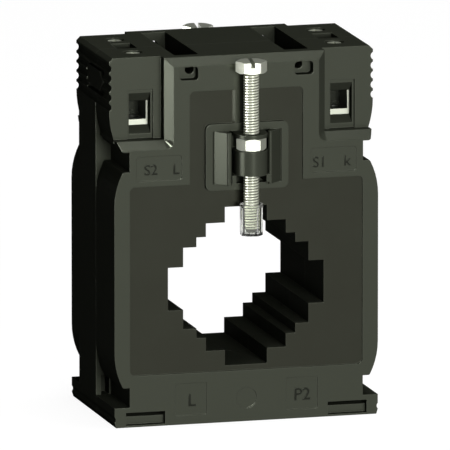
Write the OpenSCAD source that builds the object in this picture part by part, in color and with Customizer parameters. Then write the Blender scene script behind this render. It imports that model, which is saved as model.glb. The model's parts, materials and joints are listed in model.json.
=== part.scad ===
// Window-type current transformer for busbars, with two busbar clamps and a
// pair of double screw terminals. Two moulded shells close round a wound core.
// X runs across the face, Y through the window (front at -Y), Z up from the feet.

/* [Busbar window] */
// Width of the widest flat bar, and of the tallest one stood on edge
bar_a_w = 40; // [30:1:60]
// Thickness of that bar
bar_a_t = 10; // [6:1:12]
// Width of the second bar
bar_b_w = 32; // [26:1:38]
// Thickness of the second bar
bar_b_t = 20; // [14:1:24]
// Side of the square bar
bar_c = 25; // [21:1:31]
// Play left round each bar
bar_gap = 0.55; // [0.3:0.05:1]

/* [Core and winding] */
// Radial thickness of the wound steel strip
core_t = 4.4; // [3:0.1:8]
// Width of the steel strip
core_w = 25; // [18:0.5:32]
// Wall of the two insulating cups round the strip
cup_wall = 0.8; // [0.6:0.1:1.5]
// Thickness of the wire layer
wire_t = 1.2; // [0.8:0.1:2]
// Thickness of the tape band round the wire
band_t = 0.3; // [0.2:0.1:0.6]
// Play between the core, its cups and the shells
coil_gap = 0.1; // [0.05:0.05:0.3]
// Width of the break in the winding where the leads start
lead_gap = 8; // [6:0.5:12]
// Diameter of the lead wires
lead_d = 1.1; // [0.8:0.1:1.2]

/* [Shells] */
// Least wall of the hub between the window and the core
hub_wall = 1.4; // [1:0.1:3]
// Side wall beside the core
side_wall = 2.2; // [1.8:0.1:4]
// Front and back face wall
face_wall = 2.6; // [2.2:0.1:4]
// Floor under the core
floor_t = 2.6; // [2:0.1:5]
// Height of the rings that hold the winding off the face walls
ring_h = 3.45; // [2:0.05:6]
// Depth of the front shell, from its face to the parting line
front_d = 18.2; // [14:0.1:19]
// Depth of the waisted rim of the back shell
back_rim_d = 7.5; // [5:0.1:9]
// Height of the feet
foot_h = 5.1; // [4.6:0.1:8]
// Height of the notch above the feet
notch_h = 5.1; // [4:0.1:6]
// How far the notch and the neck step in from the side
waist_in = 4; // [3:0.1:5]
// Height of the neck under the shoulder
neck_h = 5.1; // [4:0.1:6]
// Radius of the flanks where they curve in to the waists
flank_r = 19; // [11:0.5:24]
// Height of the shoulder rim
rim_h = 2.5; // [1.5:0.1:3]
// Radius of the sides of the terminal head where they curve in to the neck
head_r = 24; // [18:0.5:30]
// Solid height between the core and the shoulder
crown_h = 5.9; // [5.5:0.1:9]
// Height of the terminal head above the shoulder
head_h = 21.1; // [20:0.1:26]
// Half width of the raised tab between the terminals
tab_half = 21.2; // [20:0.1:23]
// Bevel round the tab and along the shoulder
bevel = 2.1; // [1:0.1:2.5]
// Thickness of the face tab in front of the terminals
tab_d = 5; // [4:0.1:6]
// Depth of the label recess
label_dip = 0.6; // [0.3:0.1:1]

/* [Terminals] */
// Distance of each terminal from the side of the housing
term_in = 8.2; // [7.8:0.1:9]
// Distance of the terminal screws from the middle plane
term_y = 8.8; // [7.6:0.1:9]
// Diameter of the terminal screw
term_screw_d = 3; // [2.5:0.1:3.2]
// Diameter of its head
term_head_d = 4.4; // [4:0.1:4.6]
// Height of its head
term_head_h = 2; // [1.5:0.1:2.4]
// Diameter of the screwdriver wells
well_d = 5; // [4.8:0.1:5.6]
// Inside width of the clamp cages
cage_in_w = 4.8; // [4:0.1:5.8]
// Side wall of the cages
cage_wall = 0.5; // [0.4:0.05:0.6]
// Thick floor of the cages, which lifts the wire
cage_floor = 1.4; // [1:0.1:1.6]
// Threaded roof of the cages
cage_roof = 1.5; // [1.2:0.1:1.8]
// Length of the cages along the wire
cage_len = 7.4; // [5.5:0.1:7.6]
// Room for the wire under the terminal bar
wire_room = 4.8; // [4.2:0.1:5]
// Width of the terminal bar
term_bar_w = 4; // [3:0.1:4.2]
// Thickness of the terminal bar
term_bar_t = 1; // [0.8:0.1:1.2]
// Play of the cages in their pockets
cage_gap = 0.15; // [0.1:0.05:0.3]

/* [Busbar clamps] */
// Nominal diameter of the clamp screw
clamp_d = 4; // [3:0.1:4.5]
// Length of its shank
clamp_len = 41.2; // [38:0.1:46]
// Height of its hexagon head
clamp_head_h = 3; // [2.5:0.1:3.5]
// Width across the flats of the head and of the nut
clamp_af = 7; // [6:0.5:7.4]
// Height of the nut
nut_h = 3.2; // [2.4:0.1:3.6]
// Distance of the clamp screw in front of the face
clamp_out = 4.5; // [4.3:0.1:5.5]
// Height of the insulating cap on the tip of the screw
cap_h = 8; // [6:0.5:9]
// Wall of that cap
cap_wall = 0.9; // [0.6:0.1:1]
// Radial play of a screw in its thread or bore
thread_gap = 0.05; // [0.02:0.01:0.1]

/* [Hidden] */
$fn = 48;
eps = 0.02;
far = 200;

// window, hub and coil, built outwards from the busbars
window_steps = [[bar_a_w, bar_a_t], [bar_b_w, bar_b_t], [bar_c, bar_c],
                [bar_b_t, bar_b_w], [bar_a_t, bar_a_w]];
function corner_r(bar) = norm([bar[0] / 2 + bar_gap, bar[1] / 2 + bar_gap]);
hub_r = max([for (bar = window_steps) corner_r(bar)]) + hub_wall;
wind_in = hub_r + 0.5;
cup_in = wind_in + wire_t + coil_gap;
core_in = cup_in + cup_wall + coil_gap;
core_out = core_in + core_t;
cup_out = core_out + coil_gap + cup_wall;
wind_out = cup_out + coil_gap + wire_t;
band_out = wind_out + band_t;
cavity_r = band_out + 0.3;
cup_half = core_w / 2 + coil_gap + cup_wall;
wind_half = cup_half + coil_gap + wire_t;

// outside of the shells
half_w = cavity_r + side_wall;
body_d = 2 * (wind_half + 0.3 + ring_h + face_wall);
mid_z = cavity_r + floor_t;
waist_half = half_w - waist_in;
notch_z = foot_h + notch_h;
shoulder_z = mid_z + cavity_r + crown_h;
neck_top = shoulder_z - rim_h;
neck_z = neck_top - neck_h;
top_z = shoulder_z + head_h;
flank_run = 8.6;
flank_rise = 0.3;
flank_turn = asin(flank_run / flank_r);
flank_end = half_w - flank_r + flank_r * cos(flank_turn);
foot_half = [[half_w - 0.4, 0], [half_w, 1.3], [half_w, foot_h]];
top_corner = [[half_w, top_z - 1], [half_w - 1, top_z]];
back_d = body_d - front_d;

// ridges on the sides of the terminal head and the feet
groove_r = 1.05;
groove_deep = 0.6;
groove_pitch = 2.5;
groove_count = 5;
groove_top = 2.7;
foot_groove_z = 2.1;
ridge_base = top_z - groove_count * groove_pitch - 1.2;

// long catch on each side of the head
catch_z = top_z - 7.6;
catch_half = 3.5;
catch_deep = 1.4;
catch_from = 12;
catch_to = 27;

// terminals
term_x = half_w - term_in;
pocket_half = cage_in_w / 2 + cage_wall + cage_gap;
cage_z = shoulder_z + 3;
bar_z = cage_z + cage_floor + wire_room;
cage_h = cage_floor + wire_room + term_bar_t + 0.2 + cage_roof;
term_tip_z = bar_z + term_bar_t;
head_sink = 0.3;
term_head_z = top_z - head_sink - term_head_h;
pocket_top = top_z - 4.6;
pocket_end = term_y + cage_len / 2 + cage_gap;
lead_x = term_x - pocket_half - 1.3;
lead_y = -body_d / 2 + front_d + 2.1;
lead_z = shoulder_z - 4;
lead_room = 2.1;
channel_in = 11.3;
channel_out = 17.7;
channel_floor = top_z - 14.8;
peg_recess_d = 2.9;
slot_half = 3.5;
slot_x = 2.65;

// clamp housings on the two faces
nest_z = shoulder_z - 11.7;
nest_h = 13.6;
nest_half = 9.05;
nest_floor = 1.4;
boss_z = nest_z + 3;
boss_r = 4.15;
nut_z = boss_z + 6.3;
collar_z = nut_z + nut_h + 0.1;
clamp_sink = 0.6;
clamp_head_z = top_z - clamp_sink - clamp_head_h;
clamp_tip_z = clamp_head_z - clamp_len;
clamp_turn = -8;
cap_floor = 0.6;
cap_z = clamp_tip_z - cap_floor - 0.1;

function arc(x, z, r, from, to, steps) =
    [for (i = [0 : steps]) let (a = from + (to - from) * i / steps) [x + r * cos(a), z + r * sin(a)]];
function mirrored(half) = concat(half, [for (i = [len(half) - 1 : -1 : 0]) [-half[i][0], half[i][1]]]);

// angle and half width at height z of the sides that curve in under the ridges
function head_turn(z) = asin((ridge_base - z) / head_r);
function head_side(z) = half_w - head_r + head_r * cos(head_turn(z));

module at_front() { translate([0, -body_d / 2, 0]) children(); }
module at_back() { rotate([0, 0, 180]) at_front() children(); }
module both_sides() { children(); mirror([1, 0, 0]) children(); }

// a front view outline taken from y0 to y1
module through(y0, y1) { translate([0, y1, 0]) rotate([90, 0, 0]) linear_extrude(y1 - y0) children(); }
// a ring about the window's axis, from y0 to y1
module about_window(r, y0, y1) { translate([0, y1, mid_z]) rotate([90, 0, 0]) cylinder(r = r, h = y1 - y0, $fn = 96); }
// a box given by its two corners
module box(low, high) { translate(low) cube(high - low); }

// waisted outline of the faces, up to the shoulder
module waisted_outline() {
    low_arc_z = notch_z + flank_rise + flank_run;
    high_arc_z = neck_z - flank_rise - flank_run;
    polygon(mirrored(concat(
        foot_half,
        [[waist_half, foot_h], [waist_half, notch_z],
         [flank_end - flank_rise, notch_z]],
        arc(half_w - flank_r, low_arc_z, flank_r, -flank_turn, 0, 5),
        arc(half_w - flank_r, high_arc_z, flank_r, 0, flank_turn, 5),
        [[flank_end - flank_rise, neck_z],
         [waist_half, neck_z], [waist_half, neck_top],
         [head_side(neck_top) - flank_rise, neck_top]],
        arc(half_w - head_r, ridge_base, head_r, -head_turn(neck_top + flank_rise), -head_turn(shoulder_z), 2))));
}

// straight-sided outline of the middle of the back shell
module block_outline() {
    polygon(mirrored(concat(foot_half, top_corner)));
}

// terminal head, whose sides curve in to the shoulder
module head_outline() {
    polygon(mirrored(concat(
        [[head_side(shoulder_z), shoulder_z - 1]],
        arc(half_w - head_r, ridge_base, head_r, -head_turn(shoulder_z), 0, 4),
        top_corner)));
}

// face plate with its raised, bevelled tab; local y = 0 is the outer face
module face_tab() {
    difference() {
        box([-tab_half, 0, mid_z + cavity_r], [tab_half, tab_d + eps, top_z]);
        both_sides() translate([tab_half - bevel, 0, 0]) rotate([0, 0, -45])
            box([0, -far, 0], [far, far, far]);
        translate([0, 0, top_z - bevel]) rotate([45, 0, 0]) box([-far, -far, 0], [far, far, far]);
    }
}

module shoulder_bevel() {
    translate([0, 0, shoulder_z - bevel]) rotate([45, 0, 0]) box([-far, -far, 0], [far, far, far]);
}

// round concave corner where the bevels of the tab and the shoulder meet
module bevel_corner() {
    both_sides() difference() {
        box([tab_half - bevel, 0, shoulder_z - bevel], [tab_half, bevel, shoulder_z]);
        translate([tab_half, bevel, shoulder_z]) rotate([90, 0, 0])
            cylinder(r1 = 0, r2 = bevel + 1, h = bevel + 1);
    }
}

// waisted body, head and tab from the face to depth d
module face_body(waisted_d, d) {
    difference() {
        through(0, waisted_d) waisted_outline();
        shoulder_bevel();
    }
    through(tab_d, d) head_outline();
    face_tab();
    bevel_corner();
}

module side_grooves() {
    both_sides() {
        for (i = [0 : groove_count - 1])
            translate([half_w + groove_r - groove_deep, 0, top_z - groove_top - i * groove_pitch])
                rotate([90, 0, 0]) cylinder(r = groove_r, h = far, center = true);
        translate([half_w + groove_r - groove_deep / 2, 0, foot_groove_z])
            rotate([90, 0, 0]) cylinder(r = groove_r, h = far, center = true);
    }
}

module window_cut() {
    for (bar = window_steps)
        box([-bar[0] / 2 - bar_gap, -far, mid_z - bar[1] / 2 - bar_gap],
            [bar[0] / 2 + bar_gap, far, mid_z + bar[1] / 2 + bar_gap]);
}

// room for the wound core, less the hub and the rings that hold it
module coil_cavity(d) {
    ring_w = 1.2;
    difference() {
        about_window(cavity_r, face_wall, d + 1);
        about_window(hub_r, 0, d + 2);
        for (r = [core_in - 0.5, core_out - 0.5])
            difference() {
                about_window(r + ring_w / 2, 0, face_wall + ring_h);
                about_window(r - ring_w / 2, -1, face_wall + ring_h + 1);
            }
    }
}

// rounded rectangle seen from the front, cut or raised between two depths
module plaque(x0, x1, z0, z1, r, y0, y1) {
    box([x0 + r, y0, z0], [x1 - r, y1, z1]);
    box([x0, y0, z0 + r], [x1, y1, z1 - r]);
    for (x = [x0 + r, x1 - r], z = [z0 + r, z1 - r])
        translate([x, y1, z]) rotate([90, 0, 0]) cylinder(r = r, h = y1 - y0);
}

// shallow recess that takes the printed label, with the rib left standing in it
module label_recess() {
    wide_half = 30.7;
    narrow_half = 14.9;
    low_z = mid_z - 21.9;
    high_z = mid_z + 26.9;
    narrow_top = top_z - 8.7;
    corner = 1.3;
    rib_half = 3;
    difference() {
        union() {
            plaque(-wide_half, wide_half, low_z, high_z, corner, -1, label_dip);
            plaque(-narrow_half, narrow_half, high_z - 2 * corner, narrow_top, corner, -1, label_dip);
        }
        translate([0, 0, nest_z + nest_h]) linear_extrude(far)
            polygon([[-rib_half - label_dip, label_dip + eps], [-rib_half, 0], [-rib_half, -2],
                     [rib_half, -2], [rib_half, 0], [rib_half + label_dip, label_dip + eps]]);
    }
}

// small marking fields, left plain
module marking_fields() {
    field_d = 0.3;
    square_in = 10.5;
    square_out = 18.8;
    square_low = 2.35;
    wide_in = 17;
    wide_out = 29;
    wide_low = neck_z - 2.5;
    wide_high = neck_z + 3.8;
    disc_z = 6.1;
    disc_r = 2.7;
    both_sides() {
        plaque(square_in, square_out, square_low, square_low + square_out - square_in, 0.3, -1, field_d);
        plaque(wide_in, wide_out, wide_low, wide_high, 0.8, -1, field_d);
    }
    translate([0, field_d, disc_z]) rotate([90, 0, 0]) cylinder(r = disc_r, h = 2);
}

// slots in the face of each foot for slide-in mounting feet
module foot_slots() {
    slot_in = 21.5;
    slot_out = 31.8;
    slot_top = 3.8;
    slot_t = 1.3;
    slot_d = 6.5;
    lip_d = 1.8;
    lip_z = 0.5;
    both_sides() {
        box([slot_in, -1, lip_z], [slot_out, lip_d, slot_top]);
        box([slot_in, -1, slot_top - slot_t], [slot_out, slot_d, slot_top]);
    }
}

// open channels in the head, each with a peg recess and hole in the face tab
module head_channels(d) {
    recess_in = 12.7;
    recess_out = 17.6;
    peg_x = 14.3;
    peg_r = 1.2;
    both_sides() {
        box([channel_in, tab_d, channel_floor], [channel_out, d + 1, far]);
        plaque(recess_in, recess_out, top_z - 5.7, top_z - bevel - 0.2, 0.9, -1, peg_recess_d);
        translate([peg_x, tab_d + 1, top_z - 3.4]) rotate([90, 0, 0]) cylinder(r = peg_r, h = tab_d + 2);
    }
}

// hollow under the flat top between the channels
module head_hollow(d) {
    wall = 1.5;
    box([-channel_in + wall, tab_d + 1.2, shoulder_z - 1.6], [channel_in - wall, d + 1, top_z - wall]);
}

// one terminal seen from its own face: funnel, pocket, well and slot
module terminal_cut(d) {
    step = 0.8;
    step_half = pocket_half + 0.3;
    step_h = 3.4;
    flare_low = 1.2;
    flare_high = 2.5;
    entry_y = tab_d + step;
    pocket_y = body_d / 2 - pocket_end;
    both_sides() {
        box([term_x - step_half, tab_d - 1, shoulder_z], [term_x + step_half, entry_y, bar_z + step_h]);
        translate([term_x - pocket_half + 0.2, 0, 0]) rotate([90, 0, 90]) linear_extrude(2 * pocket_half - 0.4)
            polygon([[entry_y - eps, shoulder_z + flare_low], [pocket_y + eps, cage_z],
                     [pocket_y + eps, bar_z], [entry_y - eps, bar_z + flare_high]]);
        box([term_x - pocket_half, pocket_y, cage_z - 0.3],
            [term_x + pocket_half, pocket_y + cage_len + 2 * cage_gap, pocket_top]);
        box([term_x - pocket_half, pocket_y, bar_z],
            [term_x + pocket_half, d + 1, pocket_top]);
        translate([term_x, body_d / 2 - term_y, pocket_top - 1]) cylinder(d = well_d, h = far);
        box([term_x - slot_x, body_d / 2 - slot_half, pocket_top - 1], [term_x + slot_x, d + 1, far]);
    }
}

// guide for the clamp screw: bezel, slanting wings, boss and nut seat
module clamp_guide() {
    bead = 0.6;
    frame_w = 1.85;
    wing_t = 1.1;
    wing_out = 3.8;
    wing_tip = nest_half - wing_out;
    under_frame = 1.7;
    over_frame = 1.9;
    frame_r = 1.5;
    difference() {
        plaque(-nest_half - frame_w, nest_half + frame_w, nest_z - under_frame, nest_z + nest_h + over_frame,
               frame_r, -bead, label_dip + eps);
        box([-nest_half, -far, nest_z], [nest_half, far, nest_z + nest_h]);
    }
    both_sides() translate([0, 0, nest_z]) linear_extrude(nest_h) {
        polygon([[nest_half, 0], [nest_half, nest_floor + eps], [nest_half - wing_t * 1.6, nest_floor + eps],
                 [wing_tip - 0.4, -wing_out + 1], [wing_tip, -wing_out]]);
        translate([wing_tip + 0.13, -wing_out + 0.55]) circle(r = 0.55);
    }
    both_sides() box([4, -clamp_out - 0.2, nest_z + 0.75], [5, nest_floor + eps, boss_z - 0.2]);
    difference() {
        union() {
            translate([0, -clamp_out, boss_z]) cylinder(r = boss_r, h = nest_z + nest_h - boss_z);
            box([-boss_r, -clamp_out, boss_z], [boss_r, nest_floor + eps, nest_z + nest_h]);
        }
        box([-far, -far, nut_z], [far, -clamp_out + boss_r - 0.15, collar_z]);
        translate([0, -clamp_out, 0]) cylinder(d = clamp_d + 0.6, h = far);
    }
}

module nest_cut() {
    box([-nest_half, -1, nest_z], [nest_half, nest_floor, nest_z + nest_h]);
}

// everything cut from a shell's own face inwards, and its clamp guide
module face_features(d) {
    difference() {
        children();
        coil_cavity(d);
        label_recess();
        marking_fields();
        foot_slots();
        head_channels(d);
        head_hollow(d);
        terminal_cut(d);
        nest_cut();
    }
    clamp_guide();
}

// passage for the two lead wires, all in the back shell behind the parting line
module lead_passage() {
    y0 = -body_d / 2 + front_d - 1;
    y1 = lead_y + lead_room;
    box([-lead_x - lead_room / 2, y0, lead_z - lead_room / 2], [lead_x + lead_room / 2, y1, lead_z + lead_room / 2]);
    box([-lead_gap / 2, y0, mid_z + cavity_r - 3], [lead_gap / 2, y1, lead_z]);
    both_sides() box([lead_x - lead_room / 2, y0, lead_z], [lead_x + lead_room / 2 + 1, y1, bar_z + term_bar_t + 0.6]);
}

// long catch on each side that holds the shells together
module catch_recess() {
    both_sides() box([half_w - catch_deep, -body_d / 2 + catch_from, catch_z - catch_half],
                     [half_w + 1, -body_d / 2 + catch_to, catch_z + catch_half]);
}

// slot in each notch of the back shell, from the parting line back
module notch_slot() {
    slot_in = waist_half + 0.5;
    slot_d = 4.3;
    both_sides() box([slot_in, -body_d / 2 + front_d - 1, foot_h],
                     [slot_in + 2.2, -body_d / 2 + front_d + slot_d, notch_z]);
}

module catch_tongue() {
    gap = 0.25;
    tongue = catch_half - 1;
    both_sides() translate([half_w - catch_deep + gap, -body_d / 2, catch_z]) rotate([90, 0, 90])
        linear_extrude(catch_deep - 2 * gap)
            polygon([[catch_to + 0.1, -tongue], [catch_from + 3.2, -tongue], [catch_from + 0.3, 0],
                     [catch_from + 3.2, tongue], [catch_to + 0.1, tongue]]);
}

module front_shell() {
    color([0.27, 0.28, 0.25]) difference() {
        at_front() difference() {
            face_features(front_d) face_body(front_d, front_d);
            box([-far, front_d, -far], [far, far, far]);
        }
        window_cut();
        side_grooves();
        catch_recess();
    }
}

module rear_shell() {
    color([0.25, 0.26, 0.23]) {
        difference() {
            at_back() difference() {
                face_features(back_d) union() {
                    face_body(back_rim_d + eps, back_rim_d + eps);
                    through(back_rim_d, back_d) block_outline();
                }
                box([-far, back_d, -far], [far, far, far]);
            }
            window_cut();
            side_grooves();
            catch_recess();
            lead_passage();
            notch_slot();
        }
        catch_tongue();
    }
}

module core() {
    color([0.55, 0.56, 0.58]) difference() {
        about_window(core_out, -core_w / 2, core_w / 2);
        about_window(core_in, -core_w, core_w);
    }
}

// one half of the insulating case, open towards the middle plane
module core_cup() {
    color([0.85, 0.82, 0.72]) translate([0, 0, mid_z]) rotate([90, 0, 0]) rotate_extrude($fn = 96) {
        translate([cup_in, 0]) square([cup_wall, cup_half]);
        translate([cup_out - cup_wall, 0]) square([cup_wall, cup_half]);
        translate([cup_in, cup_half - cup_wall]) square([cup_out - cup_in, cup_wall]);
    }
}

// wire layer all round the cups, open where the leads leave it
module secondary_winding() {
    color([0.72, 0.38, 0.18]) difference() {
        about_window(wind_out, -wind_half, wind_half);
        about_window(wind_in, -far, far);
        difference() {
            about_window(cup_out + coil_gap, -cup_half - coil_gap, cup_half + coil_gap);
            about_window(cup_in - coil_gap, -far, far);
        }
        box([-lead_gap / 2, -far, mid_z], [lead_gap / 2, far, far]);
    }
}

module winding_band() {
    color([0.88, 0.78, 0.3]) difference() {
        about_window(band_out, -wind_half, wind_half);
        about_window(wind_out, -far, far);
        box([-lead_gap / 2, -far, mid_z], [lead_gap / 2, far, far]);
    }
}

// quarter bend of a wire, from along +X at the origin to straight up at x = r_bend
module wire_bend(r_wire, r_bend) {
    translate([0, 0, r_bend]) rotate([90, 0, 0]) rotate([0, 0, -90])
        rotate_extrude(angle = 90) translate([r_bend, 0]) circle(r = r_wire);
}

// a length to a whole ten-thousandth, so that pieces drawn end to end meet
function even(length) = round(length * 10000) / 10000;

// lead from the end of the wire layer up to the terminal bar
module lead() {
    r = lead_d / 2;
    bend = 1;
    inner_x = lead_gap / 2 - 1.5;
    outer_x = even(lead_x);
    start_z = even(mid_z + sqrt(pow(cup_out + coil_gap, 2) - pow(inner_x, 2)) + r);
    level_z = even(lead_z);
    translate([0, lead_y, 0]) {
        translate([inner_x + bend, 0, start_z]) rotate([0, 90, 0]) cylinder(r = r, h = lead_gap / 2 - inner_x - bend);
        translate([inner_x + bend, 0, start_z]) mirror([1, 0, 0]) wire_bend(r, bend);
        translate([inner_x, 0, start_z + bend]) cylinder(r = r, h = level_z - start_z - 2 * bend);
        translate([inner_x + bend, 0, level_z]) mirror([0, 0, 1]) mirror([1, 0, 0]) wire_bend(r, bend);
        translate([inner_x + bend, 0, level_z]) rotate([0, 90, 0]) cylinder(r = r, h = outer_x - inner_x - 2 * bend);
        translate([outer_x - bend, 0, level_z]) wire_bend(r, bend);
        translate([outer_x, 0, level_z + bend]) cylinder(r = r, h = bar_z - level_z - bend);
    }
}

module terminal_bar() {
    end = pocket_end - 0.1;
    color([0.8, 0.78, 0.7]) {
        box([term_x - term_bar_w / 2, -end, bar_z], [term_x + term_bar_w / 2, end, bar_z + term_bar_t]);
        box([lead_x - 0.8, lead_y - 1, bar_z], [term_x, lead_y + 1, bar_z + term_bar_t]);
    }
}

// rising clamp cage round the terminal bar, at its lowest
module cage(y) {
    w = cage_in_w / 2;
    color([0.8, 0.8, 0.76]) translate([term_x, y, cage_z]) difference() {
        box([-w - cage_wall, -cage_len / 2, 0], [w + cage_wall, cage_len / 2, cage_h]);
        box([-w, -far, cage_floor], [w, far, cage_h - cage_roof]);
        cylinder(r = term_screw_d / 2 + thread_gap, h = far);
        translate([0, 0, -1]) cylinder(r = term_screw_d / 2 - 0.4, h = 1 + cage_floor - 0.9);
    }
}

// terminal screw, its tip on the terminal bar
module terminal_screw(y) {
    slot_w = 0.8;
    color([0.85, 0.85, 0.82]) translate([term_x, y, 0]) difference() {
        union() {
            translate([0, 0, term_tip_z]) cylinder(d = term_screw_d, h = term_head_z - term_tip_z + eps);
            translate([0, 0, term_head_z]) cylinder(d = term_head_d, h = term_head_h - 0.4);
            translate([0, 0, term_head_z + term_head_h - 0.4 - eps])
                cylinder(d1 = term_head_d, d2 = term_head_d - 0.8, h = 0.4 + eps);
        }
        translate([0, 0, term_head_z + term_head_h]) {
            cube([far, slot_w, 2.2], center = true);
            cube([slot_w, term_head_d - 1.4, 2.2], center = true);
        }
    }
}

module hexagon(af, h) { rotate([0, 0, 30]) cylinder(r = af / sqrt(3), h = h, $fn = 6); }

module clamp_nut() {
    color([0.9, 0.91, 0.83]) translate([0, -clamp_out, nut_z]) difference() {
        intersection() {
            rotate([0, 0, clamp_turn]) hexagon(clamp_af, nut_h);
            rotate_extrude() polygon([[0, 0], [clamp_af / 2 - 0.1, 0], [clamp_af / 2 + 0.7, 0.45],
                [clamp_af / 2 + 0.7, nut_h - 0.45], [clamp_af / 2 - 0.1, nut_h], [0, nut_h]]);
        }
        translate([0, 0, -1]) cylinder(r = clamp_d / 2 + thread_gap, h = far);
    }
}

// slotted hexagon-head clamp screw
module clamp_screw() {
    tip_h = 1.3;
    tip_r = 1.15;
    head_chamfer = 0.45;
    color([0.92, 0.93, 0.85]) translate([0, -clamp_out, 0]) {
        translate([0, 0, clamp_tip_z + tip_h]) cylinder(d = clamp_d, h = clamp_len - tip_h + eps);
        translate([0, 0, clamp_tip_z]) cylinder(r1 = tip_r, r2 = clamp_d / 2, h = tip_h);
        translate([0, 0, clamp_head_z]) difference() {
            intersection() {
                rotate([0, 0, clamp_turn]) hexagon(clamp_af, clamp_head_h);
                rotate_extrude() polygon([[0, 0], [clamp_af / 2 - 0.1, 0], [clamp_af / 2 + 0.7, head_chamfer],
                    [clamp_af / 2 + 0.7, clamp_head_h - 0.2], [clamp_af / 2 + 0.2, clamp_head_h], [0, clamp_head_h]]);
            }
            rotate([0, 0, clamp_turn + 90]) translate([-far / 2, -0.5, clamp_head_h - 1.3]) cube([far, 1, 2]);
        }
    }
}

// clear insulating cap on the tip of the clamp screw
module screw_cap() {
    outer = clamp_d / 2 + thread_gap + cap_wall;
    rim = 0.8;
    color([0.85, 0.87, 0.82, 0.6]) translate([0, -clamp_out, cap_z]) difference() {
        union() {
            rotate([0, 0, 22.5]) cylinder(r = outer, h = cap_h - rim + eps, $fn = 8);
            translate([0, 0, cap_h - rim]) cylinder(r = outer + 0.05, h = rim);
        }
        translate([0, 0, cap_floor]) cylinder(r = clamp_d / 2 + thread_gap, h = far);
    }
}

front_shell();
rear_shell();
core();
core_cup();  // core_cup_front
rotate([0, 0, 180]) core_cup();  // core_cup_rear
secondary_winding();
winding_band();
color([0.6, 0.15, 0.12]) mirror([1, 0, 0]) lead();  // lead_left
color([0.6, 0.15, 0.12]) lead();  // lead_right
mirror([1, 0, 0]) terminal_bar();  // terminal_bar_left
terminal_bar();  // terminal_bar_right
mirror([1, 0, 0]) cage(-term_y);  // cage_left_front
mirror([1, 0, 0]) cage(term_y);  // cage_left_rear
cage(-term_y);  // cage_right_front
cage(term_y);  // cage_right_rear
mirror([1, 0, 0]) terminal_screw(-term_y);  // terminal_screw_left_front
mirror([1, 0, 0]) terminal_screw(term_y);  // terminal_screw_left_rear
terminal_screw(-term_y);  // terminal_screw_right_front
terminal_screw(term_y);  // terminal_screw_right_rear
at_front() clamp_nut();  // clamp_nut_front
at_back() clamp_nut();  // clamp_nut_rear
at_front() clamp_screw();  // clamp_screw_front
at_back() clamp_screw();  // clamp_screw_rear
at_front() screw_cap();  // screw_cap_front
at_back() screw_cap();  // screw_cap_rear
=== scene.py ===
import json
import math
import bmesh
import bpy
from mathutils import Matrix, Vector

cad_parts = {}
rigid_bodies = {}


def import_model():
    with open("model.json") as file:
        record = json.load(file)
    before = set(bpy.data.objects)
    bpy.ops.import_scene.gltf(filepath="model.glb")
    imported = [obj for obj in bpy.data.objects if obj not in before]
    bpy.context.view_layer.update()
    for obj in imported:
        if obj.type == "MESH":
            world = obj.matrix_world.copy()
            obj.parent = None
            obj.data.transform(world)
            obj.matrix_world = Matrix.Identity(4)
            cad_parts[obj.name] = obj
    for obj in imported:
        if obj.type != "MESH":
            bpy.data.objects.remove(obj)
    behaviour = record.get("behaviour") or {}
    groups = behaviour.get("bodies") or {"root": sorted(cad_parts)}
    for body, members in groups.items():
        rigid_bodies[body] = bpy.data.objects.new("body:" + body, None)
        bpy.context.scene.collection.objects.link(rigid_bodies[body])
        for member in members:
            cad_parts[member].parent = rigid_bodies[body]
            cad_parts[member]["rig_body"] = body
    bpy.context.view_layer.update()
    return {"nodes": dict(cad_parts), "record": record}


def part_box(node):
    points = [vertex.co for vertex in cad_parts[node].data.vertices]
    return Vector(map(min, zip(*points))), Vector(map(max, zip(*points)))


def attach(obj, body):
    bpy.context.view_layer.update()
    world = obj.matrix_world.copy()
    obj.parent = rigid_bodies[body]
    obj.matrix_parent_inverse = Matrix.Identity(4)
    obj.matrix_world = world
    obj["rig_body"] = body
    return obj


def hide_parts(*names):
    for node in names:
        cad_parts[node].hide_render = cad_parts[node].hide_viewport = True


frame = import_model()
mm = 0.001

cameraSettings = {
    "azimuth": -15.50,      # degrees round the object from straight in front
    "elevation": 11.17,
    "lens": 1500,           # a very long lens, so the lines stay almost parallel
    "field": 114.90 * mm,   # width seen at the object
    "aim": (0, 0, 47.2 * mm),
    "across": 0.147 * mm,   # shift of the view to the right and down, from the aim
    "down": 0.303 * mm,
}


def addCamera(s):
    data = bpy.data.cameras.new("studioCamera")
    data.lens = s["lens"]
    data.sensor_width = 36
    camera = bpy.data.objects.new("studioCamera", data)
    bpy.context.scene.collection.objects.link(camera)
    turn, rise = math.radians(s["azimuth"]), math.radians(s["elevation"])
    back = Vector((math.sin(turn) * math.cos(rise), -math.cos(turn) * math.cos(rise), math.sin(rise)))
    right = Vector((math.cos(turn), math.sin(turn), 0))
    up = back.cross(right)
    distance = s["field"] / data.sensor_width * s["lens"]
    aim = Vector(s["aim"]) + right * s["across"] - up * s["down"]
    camera.location = aim + back * distance
    camera.rotation_mode = "QUATERNION"
    camera.rotation_quaternion = (-back).to_track_quat("-Z", "Y")
    data.clip_start, data.clip_end = distance / 100, distance * 4
    bpy.context.scene.camera = camera


addCamera(cameraSettings)
bpy.context.scene.view_settings.view_transform = "Standard"
print("camera ready")


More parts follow.
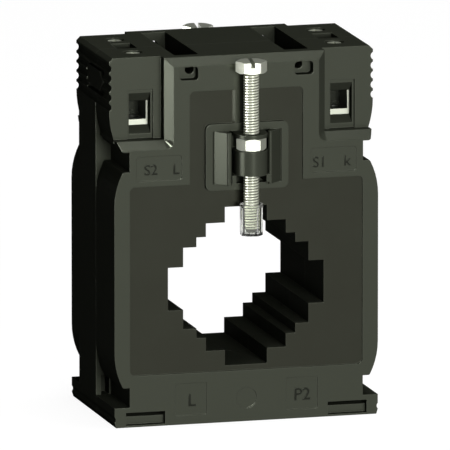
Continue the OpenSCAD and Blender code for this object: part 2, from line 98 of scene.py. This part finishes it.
class Wire:  # one output of a node, with arithmetic on it
    def __init__(self, graph, socket):
        self.graph, self.socket = graph, socket

    def maths(self, operation, *others):
        return self.graph.add("ShaderNodeMath", {"operation": operation}, dict(enumerate((self, *others))))

    def reflected(self, operation, first):
        return self.graph.add("ShaderNodeMath", {"operation": operation}, {0: first, 1: self})

    def __add__(self, other): return self.maths("ADD", other)
    def __radd__(self, other): return self.maths("ADD", other)
    def __sub__(self, other): return self.maths("SUBTRACT", other)
    def __rsub__(self, other): return self.reflected("SUBTRACT", other)
    def __mul__(self, other): return self.maths("MULTIPLY", other)
    def __truediv__(self, other): return self.maths("DIVIDE", other)
    def __lt__(self, other): return self.maths("LESS_THAN", other)
    def __gt__(self, other): return self.maths("GREATER_THAN", other)
    def __abs__(self): return self.maths("ABSOLUTE")
    def __pow__(self, other): return self.maths("POWER", other)


class Graph:  # a material or world tree that nodes are added to
    def __init__(self, tree):
        self.tree = tree
        tree.nodes.clear()

    def add(self, kind, settings=None, values=None, out=0):
        node = self.tree.nodes.new(kind)
        for key, value in (settings or {}).items():
            setattr(node, key, value)
        for key, value in (values or {}).items():
            self.feed(node.inputs[key], value)
        return Wire(self, node.outputs[out]) if node.outputs else node

    def feed(self, socket, value):
        if isinstance(value, Wire):
            self.tree.links.new(value.socket, socket)
        elif socket.type == "RGBA" and len(value) == 3:
            socket.default_value = (*value, 1)
        else:
            socket.default_value = value

    def place(self, move=(0, 0, 0)):  # object coordinates, in millimetres
        where = self.add("ShaderNodeTexCoord", out="Object")
        return self.add("ShaderNodeMapping", {}, {"Vector": where, "Location": move,
                                                  "Scale": (1 / mm,) * 3})

    def axes(self, where):
        split = self.add("ShaderNodeSeparateXYZ", {}, {0: where})
        outputs = split.socket.node.outputs
        return [Wire(self, outputs[i]) for i in range(3)]

    def noise(self, where, scale, detail):
        return self.add("ShaderNodeTexNoise", {}, {"Vector": where, "Scale": scale, "Detail": detail})

    def blend(self, factor, first, second):
        return self.add("ShaderNodeMix", {"data_type": "RGBA"}, {0: factor, 6: first, 7: second}, out=2)

    def mixed(self, share, first, second):  # two shaders, the second one by its share
        return self.add("ShaderNodeMixShader", {}, {0: share, 1: first, 2: second})

    def bump(self, height, strength, distance, normal=None):
        values = {"Height": height, "Strength": strength, "Distance": distance}
        if normal is not None:
            values["Normal"] = normal
        return self.add("ShaderNodeBump", {}, values)

    def finish(self, shader, output="ShaderNodeOutputMaterial"):
        self.add(output, {}, {"Surface": shader})

    def principled(self, values):
        return self.add("ShaderNodeBsdfPrincipled", {}, values)


def newMaterial(name):
    material = bpy.data.materials.new(name)
    material.use_nodes = True
    return material, Graph(material.node_tree)


studio = {
    "floorSize": 6.0,
    "floorColour": (0.16, 0.16, 0.16),
    "floorGlow": 0.93,
    "world": 0.04,
    "aim": (0, 0, 0.05),
    "key": {"from": (0.05, -1.6, 0.25), "size": 0.45, "power": 27.0},
    "strip": {"from": (-0.297, 0.042, 0.038), "size": 0.42, "height": 0.065, "power": 1.75,
              "glossOnly": True},  # lights gloss alone, so flat faces beside it stay dark
    "corner": {"from": (-0.32, -0.16, 0.42), "size": 0.09, "power": 4.5, "glossOnly": True},
    "top": {"from": (0.15, -0.05, 1.2), "size": 0.4, "power": 6.5},
}


def rayIs(g, kind):
    return Wire(g, g.add("ShaderNodeLightPath").socket.node.outputs["Is %s Ray" % kind])


def seenDirectly(g):  # 1 for camera, mirror and glass rays, 0 for soft light
    return (rayIs(g, "Camera") + rayIs(g, "Glossy") + rayIs(g, "Transmission")).maths("MINIMUM", 1.0)


def addFloor(s):
    bm = bmesh.new()
    bmesh.ops.create_grid(bm, x_segments=1, y_segments=1, size=s["floorSize"])
    mesh = bpy.data.meshes.new("floor")
    bm.to_mesh(mesh)
    bm.free()
    floor = bpy.data.objects.new("floor", mesh)
    bpy.context.scene.collection.objects.link(floor)
    material, g = newMaterial("paleFloor")
    surface = g.add("ShaderNodeBsdfDiffuse", {}, {"Color": s["floorColour"]})
    strength = seenDirectly(g) * s["floorGlow"]
    glow = g.add("ShaderNodeEmission", {}, {"Color": (1, 1, 1), "Strength": strength})
    g.finish(g.add("ShaderNodeAddShader", {}, {0: surface, 1: glow}))
    mesh.materials.append(material)


def addWorld(s):  # white where the camera sees it, dim as a light
    world = bpy.data.worlds.new("studioWorld")
    world.use_nodes = True
    bpy.context.scene.world = world
    g = Graph(world.node_tree)
    strength = rayIs(g, "Camera").maths("MAXIMUM", s["world"])
    background = g.add("ShaderNodeBackground", {}, {"Color": (1, 1, 1), "Strength": strength})
    g.finish(background, "ShaderNodeOutputWorld")


def addLamp(name, s, aim):
    data = bpy.data.lights.new(name, "AREA")
    data.shape = "RECTANGLE"
    data.size, data.size_y = s["size"], s.get("height", s["size"])
    data.energy = s["power"]
    lamp = bpy.data.objects.new(name, data)
    bpy.context.scene.collection.objects.link(lamp)
    lamp.location = s["from"]
    lamp.visible_diffuse = "glossOnly" not in s
    lamp.rotation_mode = "QUATERNION"
    lamp.rotation_quaternion = (Vector(aim) - Vector(s["from"])).to_track_quat("-Z", "Y")


addFloor(studio)
addWorld(studio)
for lampName in ("key", "strip", "corner", "top"):
    addLamp(lampName + "Lamp", studio[lampName], studio["aim"])
print("studio ready")


plasticSettings = {
    "colour": (0.031, 0.034, 0.025),
    "labelColour": (0.020, 0.020, 0.0145),
    "roughness": 0.55,
    "gloss": 0.55,          # the satin skin's share seen square on
    "glossRoughness": 0.22,
    "glossTint": (0.92, 1.0, 0.78, 1),
    "glossFade": 3.5,       # how fast the skin's gloss goes towards grazing
    "edge": 0.28 * mm,
    "edgeHighlight": 2.0,            # painted highlight along the edges: how fast it pales, and how far
    "edgeHighlightMost": 0.45,
    "edgeHighlightColour": (0.13, 0.14, 0.11),
    "mottle": {"scale": 0.12, "detail": 3, "share": 0.35, "dark": 0.8},
    "grain": {"scale": 9.0, "detail": 2, "strength": 0.05, "height": 0.05 * mm},
    "label": {"half": 30.7, "low": 13.3, "shoulder": 62.1, "neckHalf": 14.9, "top": 86.0,
              "inner": 20.2, "outer": 20.95, "lostGloss": 0.35},
    # painted shade: the plastic deep inside the terminal wire entries is darkened almost to black
    "pocket": {"centre": 26.6, "half": 3.3, "depth": 12.6, "low": 76.0, "high": 90.0,
               "share": 0.85, "colour": (0.001, 0.001, 0.001)},
}


def dimmed(colour, share):
    return tuple(share * c for c in colour)


def shellPlastic(name, s):
    material, g = newMaterial(name)
    where = g.place()
    x, y, z = g.axes(where)
    label, shadeZone = s["label"], s["pocket"]
    wide = (abs(x) < label["half"]) * (z > label["low"]) * (z < label["shoulder"])
    neck = (abs(x) < label["neckHalf"]) * (z > label["low"]) * (z < label["top"])
    deep = (abs(y) < label["outer"]) * (abs(y) > label["inner"])
    inLabel = wide.maths("MAXIMUM", neck) * deep
    # painted shade inside the terminal wire entries, where light does not reach
    inShadeColumn = (abs(abs(x) - shadeZone["centre"]) < shadeZone["half"]) * (abs(y) < shadeZone["depth"])
    inPaintedShade = inShadeColumn * (z > shadeZone["low"]) * (z < shadeZone["high"])
    mottle = g.noise(where, s["mottle"]["scale"], s["mottle"]["detail"])
    grain = g.noise(where, s["grain"]["scale"], s["grain"]["detail"])
    colour = g.blend(inLabel, s["colour"], s["labelColour"])
    mottled = g.blend(mottle * s["mottle"]["share"], colour, dimmed(s["colour"], s["mottle"]["dark"]))
    withPaintedShade = g.blend(inPaintedShade * shadeZone["share"], mottled, shadeZone["colour"])
    flat = Wire(g, g.add("ShaderNodeNewGeometry").socket.node.outputs["True Normal"])
    soft = g.add("ShaderNodeBevel", {"samples": 6}, {"Radius": s["edge"]})
    bent = 1 - g.add("ShaderNodeVectorMath", {"operation": "DOT_PRODUCT"}, {0: soft, 1: flat}, out="Value")
    # painted highlight: the colour is paled along edges, where the bevelled normal bends away from the
    # face
    edgeLit = g.blend((bent * s["edgeHighlight"]).maths("MINIMUM", s["edgeHighlightMost"]), withPaintedShade, s["edgeHighlightColour"])
    normal = g.bump(grain, s["grain"]["strength"], s["grain"]["height"], soft)
    facing = g.add("ShaderNodeLayerWeight", {}, {"Blend": 0.5, "Normal": normal}, out="Facing")
    skin = (1 - facing) ** s["glossFade"] * s["gloss"] * (1 - inLabel * label["lostGloss"])
    matte = g.principled({"Base Color": edgeLit, "Roughness": s["roughness"] + mottle * 0.08,
                          "Specular IOR Level": 0.0, "Normal": normal})
    satin = g.principled({"Base Color": edgeLit, "Roughness": s["glossRoughness"] + mottle * 0.04,
                          "Specular IOR Level": 0.5, "Specular Tint": s["glossTint"], "Normal": normal})
    g.finish(g.mixed(skin, matte, satin))
    return material


metalSettings = {
    "zinc": {"colour": (0.53, 0.55, 0.46), "roughness": 0.30, "metallic": 0.5},
    "thread": {"colour": (0.62, 0.64, 0.53), "roughness": 0.30, "metallic": 0.5,
               "root": 1.74, "crest": 1.94},
    "nickel": {"colour": (0.42, 0.44, 0.36), "roughness": 0.36, "metallic": 0.5,
               "mouth": 12.3, "top": 91.0},
    "tin": {"colour": (0.60, 0.58, 0.50), "roughness": 0.38, "metallic": 0.9,
            "mouth": 20.0, "top": 91.0},
}
metalShares = {"cloud": 0.94, "oil": 0.16, "entryShade": 0.10}  # of the colour, where it is darker: cloud at random, the rest painted shade


def platedMetal(name, s):
    material, g = newMaterial(name)
    where = g.place()
    cloud = g.noise(where, 0.9, 4)
    fine = g.noise(where, 14.0, 2)
    colour = g.blend(cloud, dimmed(s["colour"], metalShares["cloud"]), s["colour"])
    x, y, z = g.axes(where)
    if "root" in s:  # painted shade: the thread's root is darkened
        across = abs(y) - screwAxis
        radius = (x * x + across * across) ** 0.5
        lit = ((radius - s["root"]) / (s["crest"] - s["root"])).maths("MAXIMUM", 0.0).maths("MINIMUM", 1.0)
        colour = g.blend(lit, dimmed(s["colour"], metalShares["oil"]), colour)
    if "mouth" in s:  # painted shade inside the wire entries
        entryShade = (abs(y) < s["mouth"]) * (z < s["top"])
        colour = g.blend(entryShade, colour, dimmed(s["colour"], metalShares["entryShade"]))
    g.finish(g.principled({"Base Color": colour, "Metallic": s["metallic"],
                           "Roughness": s["roughness"] + (fine - 0.5) * 0.12,
                           "Normal": g.bump(fine, 0.04, 0.02 * mm)}))
    return material


def clearPlastic(name):
    material, g = newMaterial(name)
    where = g.place()
    ripple = g.noise(where, 0.7, 2)
    g.finish(g.principled({"Base Color": (0.96, 0.97, 0.93), "Transmission Weight": 1.0, "IOR": 1.46,
                            "Roughness": 0.04 + ripple * 0.03, "Normal": g.bump(ripple, 0.05, 0.1 * mm)}))
    return material


def laminatedSteel(name):
    material, g = newMaterial(name)
    leaf = 3.2  # waves of strip edge, in radians a millimetre
    band = (g.axes(g.place())[1] * leaf).maths("SINE")
    fine = g.noise(g.place(), 6.0, 3)
    colour = g.blend(fine, (0.20, 0.20, 0.21), (0.36, 0.36, 0.37))
    g.finish(g.principled({"Base Color": colour, "Metallic": 0.9, "Roughness": 0.45 + fine * 0.15,
                            "Normal": g.bump(band, 0.3, 0.05 * mm)}))
    return material


def softPlastic(name, colour, roughness):
    material, g = newMaterial(name)
    where = g.place()
    mottle, grain = g.noise(where, 0.3, 3), g.noise(where, 8.0, 2)
    g.finish(g.principled({"Base Color": g.blend(mottle, dimmed(colour, 0.85), colour),
                            "Roughness": roughness + grain * 0.1,
                            "Normal": g.bump(grain, 0.08, 0.05 * mm)}))
    return material


def woundWire(name):
    material, g = newMaterial(name)
    strands = 190
    x, _, z = g.axes(g.place(move=(0, 0, -coreCentre)))
    strand = (z.maths("ARCTAN2", x) * strands).maths("SINE")
    tone = g.noise(g.place(), 0.8, 2)
    colour = g.blend(tone, (0.30, 0.085, 0.03), (0.48, 0.17, 0.06))
    g.finish(g.principled({"Base Color": colour, "Metallic": 0.75, "Roughness": 0.3 + tone * 0.1,
                            "Normal": g.bump(strand, 0.6, 0.12 * mm)}))
    return material


screwLow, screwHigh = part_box("clamp_screw_front")
screwAxis = abs(screwLow.y + screwHigh.y) / 2 / mm
coreLow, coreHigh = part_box("core")
coreCentre = (coreLow.z + coreHigh.z) / 2 / mm
finishes = {
    "shell_front": shellPlastic("frontShellPlastic", plasticSettings),
    "shell_rear": shellPlastic("rearShellPlastic", plasticSettings),
    "core_steel": laminatedSteel("woundSteelStrip"),
    "cup_plastic": softPlastic("cupPlastic", (0.55, 0.52, 0.44), 0.45),
    "enamelled_wire": woundWire("enamelledCopperWire"),
    "tape": softPlastic("polyesterTape", (0.62, 0.50, 0.16), 0.35),
    "lead_sheath": softPlastic("leadSheath", (0.35, 0.03, 0.02), 0.5),
    "tinned_brass": platedMetal("tinnedBrass", metalSettings["tin"]),
    "nickel_plate": platedMetal("nickelPlate", metalSettings["nickel"]),
    "zinc_screw": platedMetal("zincPlate", metalSettings["zinc"]),
    "clear_cap": clearPlastic("clearCap"),
}
slotOfNode = {row["node"]: row["material_slot"] for row in frame["record"]["subparts"]}
for node, piece in frame["nodes"].items():
    material = finishes[slotOfNode[node]]
    for held in piece.material_slots:
        held.material = material
print("finishes ready", len(finishes))


threadSettings = {"pitch": 0.7 * mm, "depth": 0.26 * mm, "crest": 0.26 * mm, "steps": 36,
                  "tipHeight": 1.3 * mm, "tipRadius": 1.15 * mm}
headSettings = {"flats": 7 * mm, "turn": math.radians(-8), "columns": 96,
                "slot": 1.0 * mm, "slotDepth": 1.3 * mm,
                "lowEdge": 0.1 * mm, "highEdge": 0.2 * mm, "slope": 1.8,  # the chamfers
                "shankPart": 20 * mm,    # from the tip, where the shank's radius is measured
                "shoulder": 0.2 * mm}    # how far the head stands out from it at least
nutSettings = {"turn": math.radians(30), "outside": 2.5 * mm, "share": 0.95}


def hexagonPiece(bm, low, high, s, edges):  # a hexagon with round chamfers, flat to the front
    bmesh.ops.create_cone(bm, cap_ends=True, segments=s["columns"], radius1=1, radius2=1, depth=1)
    for level in (-0.25, 0.25):  # two rings between the rims at -0.5 and 0.5
        bmesh.ops.bisect_plane(bm, geom=bm.verts[:] + bm.edges[:] + bm.faces[:],
                               plane_co=(0, 0, level), plane_no=(0, 0, 1))
    half = s["flats"] / 2
    for v in bm.verts:
        angle = math.atan2(v.co.y, v.co.x)
        past = (angle - s["turn"] - math.pi / 2) % (math.pi / 3)
        reach = half / math.cos(min(past, math.pi / 3 - past))
        upper = v.co.z >= 0
        edge = half + edges[upper]
        onRim = abs(v.co.z) > 0.4
        radius = min(reach, edge) if onRim else reach
        drop = 0 if onRim else max(reach - edge, 0.0) / s["slope"]
        height = high - drop if upper else low + drop
        v.co = Vector((math.cos(angle) * radius, math.sin(angle) * radius, height))
    bmesh.ops.remove_doubles(bm, verts=bm.verts, dist=0.0005 * mm)


def addPiece(mesh, name, node):
    piece = bpy.data.objects.new(name, mesh)
    bpy.context.scene.collection.objects.link(piece)
    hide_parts(node)
    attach(piece, bodyOfNode[node])


def cutWith(mesh, cutterMesh):  # the first mesh less the second
    keep, cutter = bpy.data.objects.new("keep", mesh), bpy.data.objects.new("cutter", cutterMesh)
    for held in (keep, cutter):
        bpy.context.scene.collection.objects.link(held)
    cut = keep.modifiers.new("cut", "BOOLEAN")
    cut.operation, cut.solver, cut.object = "DIFFERENCE", "EXACT", cutter
    bpy.context.view_layer.update()
    result = bpy.data.meshes.new_from_object(keep.evaluated_get(bpy.context.evaluated_depsgraph_get()))
    bpy.data.objects.remove(keep)
    bpy.data.objects.remove(cutter)
    return result


def screwHead(node, headLow, headHigh, centre, s):
    bm = bmesh.new()
    hexagonPiece(bm, headLow, headHigh, s, (-s["lowEdge"], s["highEdge"]))
    whole = bpy.data.meshes.new("whole")
    bm.to_mesh(whole)
    bm.clear()
    bmesh.ops.create_cube(bm, size=1)
    bmesh.ops.scale(bm, verts=bm.verts, vec=(s["slot"], s["flats"] * 2, s["slotDepth"] * 2))
    bmesh.ops.rotate(bm, verts=bm.verts, cent=(0, 0, 0), matrix=Matrix.Rotation(s["turn"], 3, "Z"))
    bmesh.ops.translate(bm, verts=bm.verts, vec=(0, 0, headHigh))
    bar = bpy.data.meshes.new("bar")
    bm.to_mesh(bar)
    bm.free()
    head = cutWith(whole, bar)
    head.materials.clear()
    head.materials.append(finishes["zinc_screw"])
    head.transform(Matrix.Translation(centre))
    addPiece(head, node + "_head", node)


def threadedShank(node, bottom, top, radius, centre, s):
    pitch, steps = s["pitch"], s["steps"]
    turns = math.ceil((top - bottom) / pitch) + 3
    outline = [(radius - s["depth"], 0), (radius, (pitch - s["crest"]) / 2),
               (radius, (pitch + s["crest"]) / 2), (radius - s["depth"], pitch)]
    bm = bmesh.new()
    points = [bm.verts.new((r, 0, bottom - 1.5 * pitch + h)) for r, h in outline]
    lines = [bm.edges.new(pair) for pair in zip(points, points[1:])]
    bmesh.ops.spin(bm, geom=points + lines, cent=(0, 0, 0), axis=(0, 0, 1), dvec=(0, 0, pitch / steps),
                   angle=2 * math.pi * turns, steps=steps * turns)
    bmesh.ops.remove_doubles(bm, verts=bm.verts, dist=0.002 * mm)
    for height, side in ((bottom, -1), (top, 1)):
        bmesh.ops.bisect_plane(bm, geom=bm.verts[:] + bm.edges[:] + bm.faces[:], plane_co=(0, 0, height),
                               plane_no=(0, 0, side), clear_outer=True, dist=0.0001 * mm)
    for v in bm.verts:
        allowed = s["tipRadius"] + (radius - s["tipRadius"]) * (v.co.z - bottom) / s["tipHeight"]
        around = v.co.xy.length
        if around > allowed:
            v.co.xy = v.co.xy * (allowed / around)
    bmesh.ops.holes_fill(bm, edges=[e for e in bm.edges if e.is_boundary], sides=0)
    bmesh.ops.recalc_face_normals(bm, faces=bm.faces)
    bmesh.ops.translate(bm, verts=bm.verts, vec=centre)
    mesh = bpy.data.meshes.new(node + "_thread")
    bm.to_mesh(mesh)
    bm.free()
    mesh.materials.append(threadMetal)
    print(node, "threads", turns, "faces", len(mesh.polygons))
    addPiece(mesh, node + "_shank", node)


def axisPoint(low, high):  # foot of the upright axis through a box
    return Vector(((low.x + high.x) / 2, (low.y + high.y) / 2, 0))


def clampScrew(node, head, thread):
    low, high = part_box(node)
    centre = axisPoint(low, high)
    points = [v.co - centre for v in frame["nodes"][node].data.vertices]
    radius = max(p.xy.length for p in points if p.z < low.z + head["shankPart"])
    headLow = min(p.z for p in points if p.xy.length > radius + head["shoulder"])
    screwHead(node, headLow, high.z, centre, head)
    threadedShank(node, low.z, headLow, radius, centre, thread)


def turnedNut(node, s):  # its flats turned as the screw head's
    centre = axisPoint(*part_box(node))
    bm = bmesh.new()
    bm.from_mesh(frame["nodes"][node].data)
    bmesh.ops.remove_doubles(bm, verts=bm.verts, dist=0.001 * mm)
    bmesh.ops.rotate(bm, verts=bm.verts, cent=centre, matrix=Matrix.Rotation(s["turn"], 3, "Z"))
    for v in bm.verts:
        out = (v.co - centre).xy
        if out.length > s["outside"]:
            v.co.xy = centre.xy + out * s["share"]
    mesh = bpy.data.meshes.new(node + "_turned")
    bm.to_mesh(mesh)
    bm.free()
    mesh.materials.append(finishes["zinc_screw"])
    addPiece(mesh, node + "_turned", node)


threadMetal = platedMetal("threadSteel", metalSettings["thread"])
bodyOfNode = {node: piece["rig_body"] for node, piece in frame["nodes"].items()}
for node in ("clamp_screw_front", "clamp_screw_rear"):
    clampScrew(node, headSettings, threadSettings)
for node in ("clamp_nut_front", "clamp_nut_rear"):
    turnedNut(node, nutSettings)

letterSettings = {
    "rise": 0.14 * mm,
    "sunk": 0.05 * mm,
    "bold": 0.018,
    # painted shade: the letters are coloured darker than the shell so they read as shaded
    "plastic": {"colour": (0.012, 0.013, 0.010), "gloss": 0.2},
    "marks": [  # text, middle, foot and height, in millimetres
        ("S1", 19.3, 64.9, 2.85), ("k", 26.6, 64.95, 2.7),
        ("S2", -25.15, 65.1, 2.8), ("L", -18.5, 65.0, 2.7),
        ("L", -14.4, 4.65, 3.2), ("P2", 14.75, 4.7, 3.25),
    ],
}


def raisedMark(name, text, x, z, height, s):
    curve = bpy.data.curves.new(name, "FONT")
    curve.body, curve.align_x, curve.extrude = text, "CENTER", 0.5
    curve.resolution_u, curve.offset = 4, s["bold"]
    before = Vector((x * mm, -1, (z + height / 2) * mm))
    onFace = frame["nodes"]["front_shell"].ray_cast(before, Vector((0, 1, 0)))[1]
    flat = bpy.data.objects.new(name + "Curve", curve)
    bpy.context.scene.collection.objects.link(flat)
    bpy.context.view_layer.update()
    mesh = bpy.data.meshes.new_from_object(flat)
    bpy.data.objects.remove(flat)
    bm = bmesh.new()
    bm.from_mesh(mesh)
    bmesh.ops.remove_doubles(bm, verts=bm.verts, dist=0.0005)
    tall = max(v.co.y for v in bm.verts) - min(0, min(v.co.y for v in bm.verts))
    size = height * mm / tall
    for v in bm.verts:
        depth = onFace.y + (-s["rise"] if v.co.z > 0 else s["sunk"])
        v.co = Vector((x * mm + v.co.x * size, depth, z * mm + v.co.y * size))
    bmesh.ops.recalc_face_normals(bm, faces=bm.faces)
    bm.to_mesh(mesh)
    bm.free()
    mesh.materials.clear()
    mesh.materials.append(shadedLetterPlastic)
    piece = bpy.data.objects.new(name, mesh)
    bpy.context.scene.collection.objects.link(piece)
    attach(piece, bodyOfNode["front_shell"])


shadedLetterPlastic = shellPlastic("shadedLetterPlastic", {**plasticSettings, **letterSettings["plastic"]})
for number, mark in enumerate(letterSettings["marks"]):
    raisedMark("mark_%d" % number, *mark, letterSettings)
print("letters ready")
